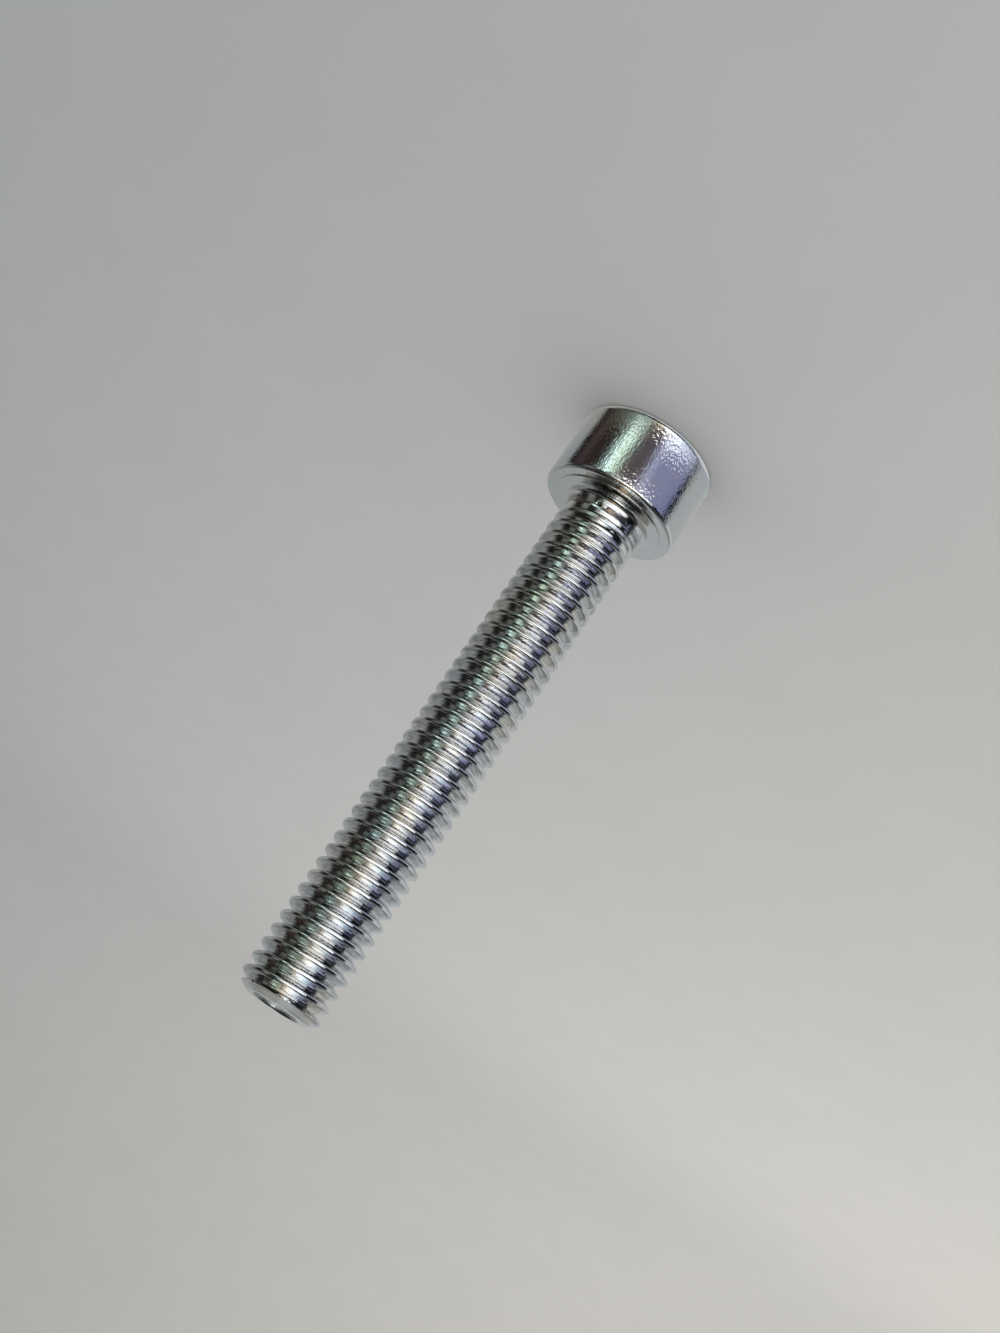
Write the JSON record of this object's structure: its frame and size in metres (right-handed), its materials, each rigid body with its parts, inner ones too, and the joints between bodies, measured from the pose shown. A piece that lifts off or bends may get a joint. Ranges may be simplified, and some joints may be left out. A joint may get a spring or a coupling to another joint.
{
  "type": "hex socket cap screw",
  "caption": "Zinc-plated steel cap screw with a smooth cylindrical head, a hexagon socket and a metric thread up to the neck, standing on its head.",
  "frame": {"origin": "at the middle of the top face of the head, which is the face that the screw stands on", "axes": "+Z along the screw's axis, from the top of the head to the tip. The crest line of the thread meets the end of the thread on the +X side, and two flats of the socket face +Y and -Y."},
  "size_m": [0.01, 0.01, 0.046],
  "materials": {
    "zinc_plated_steel": "bright zinc plating over the rolled and forged steel"
  },
  "bodies": {
    "root": {"cap_screw": "zinc_plated_steel"}
  },
  "joints": []
}
